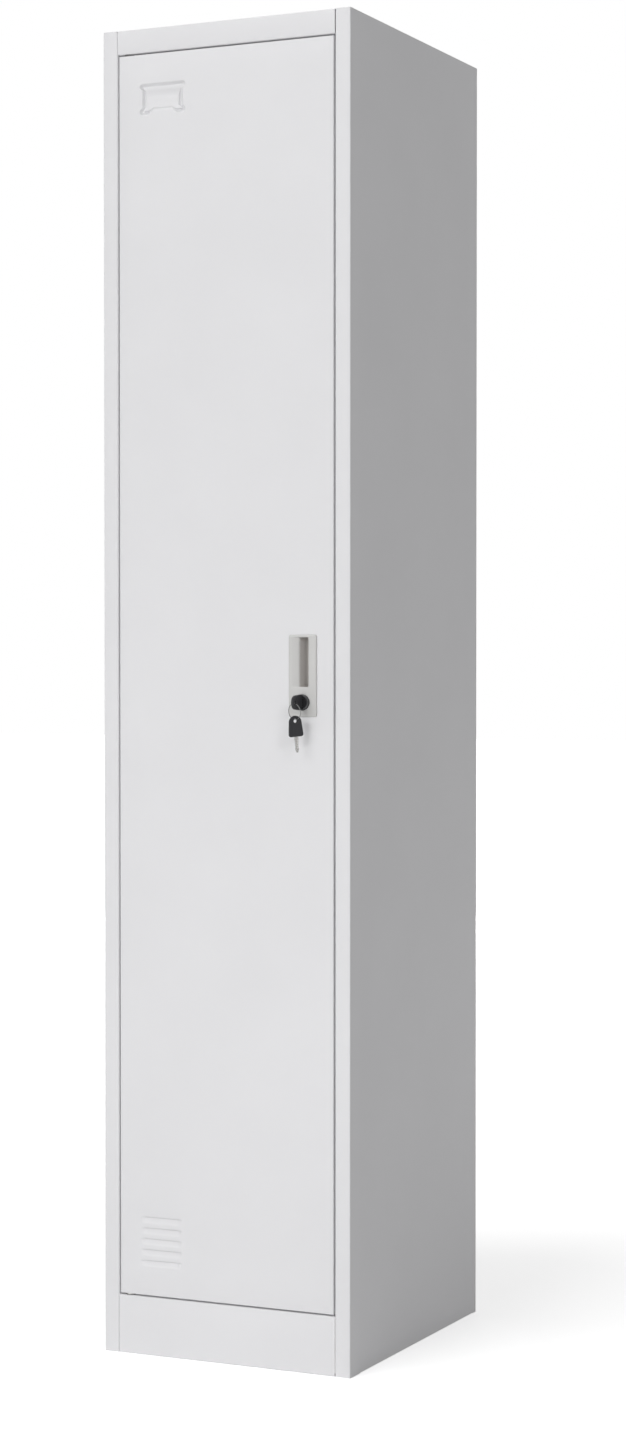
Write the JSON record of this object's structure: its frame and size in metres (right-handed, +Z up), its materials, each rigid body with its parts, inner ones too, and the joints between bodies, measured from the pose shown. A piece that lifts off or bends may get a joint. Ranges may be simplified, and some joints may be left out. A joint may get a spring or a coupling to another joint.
{
  "type": "single-door steel locker",
  "caption": "Tall narrow steel locker with a left-hinged door, recessed pull, cam lock with keys, louvres, name-card frame, hat shelf and coat rail.",
  "frame": {"origin": "middle of the back's lower edge, where the wall and the floor meet", "axes": "+Z up, +Y out of the back towards the wall, +X to the right as seen from the front"},
  "size_m": [0.38, 0.4849, 1.85],
  "materials": {
    "painted_steel": "light grey powder coat, fine texture, satin",
    "plated_steel": "nickel or zinc plated",
    "nylon": "natural nylon",
    "rubber": "matt",
    "handle_plastic": "silver-grey moulded plastic, satin",
    "lock_black": "black coated zinc casting",
    "key_plastic": "black moulded plastic, fine texture"
  },
  "bodies": {
    "carcass": {"left_side_panel": "painted_steel", "right_side_panel": "painted_steel", "back_panel": "painted_steel", "top_panel": "painted_steel", "floor_panel": "painted_steel", "hat_shelf": "painted_steel", "shelf_runner_left": "painted_steel", "shelf_runner_right": "painted_steel", "coat_rail": "plated_steel", "rail_bracket_left": "painted_steel", "rail_bracket_right": "painted_steel", "hinge_bush_top": "nylon", "hinge_bush_bottom": "nylon", "door_bumpers": "rubber"},
    "door": {"door_panel": "painted_steel", "door_stiffener": "painted_steel", "hinge_guide_top": "painted_steel", "hinge_pin_top": "plated_steel", "hinge_clip_top": "plated_steel", "hinge_pin_bottom": "plated_steel", "handle_housing": "handle_plastic", "lock_barrel": "lock_black", "lock_nut": "plated_steel"},
    "lock": {"lock_plug": "lock_black", "lock_cam": "plated_steel", "cam_screw": "plated_steel"},
    "key": {"key_bow": "key_plastic", "key_blade": "plated_steel"},
    "ring": {"key_ring": "plated_steel"},
    "spare_key": {"spare_key_bow": "key_plastic", "spare_key_blade": "plated_steel"}
  },
  "joints": [
    {"name": "door_hinge", "type": "hinge", "parent": "carcass", "child": "door", "pos_m": [-0.152, -0.443, 0.082], "axis": [0, 0, -1], "range_deg": [0, 115]},
    {"name": "lock_turn", "type": "hinge", "parent": "door", "child": "lock", "pos_m": [0.1195, -0.456, 0.916], "axis": [0, -1, 0], "range_deg": [0, 90]},
    {"name": "key_pull", "type": "slide", "parent": "lock", "child": "key", "axis": [0, -1, 0], "range_m": [0, 0.03]},
    {"name": "ring_swing", "type": "hinge", "parent": "key", "child": "ring", "pos_m": [0.1195, -0.4779, 0.916], "axis": [1, 0, 0], "range_deg": [-36, 2]},
    {"name": "spare_key_swing", "type": "hinge", "parent": "ring", "child": "spare_key", "pos_m": [0.1195, -0.4753, 0.89124], "axis": [0.8192, -0.5736, 0], "range_deg": [-30, 3]}
  ]
}
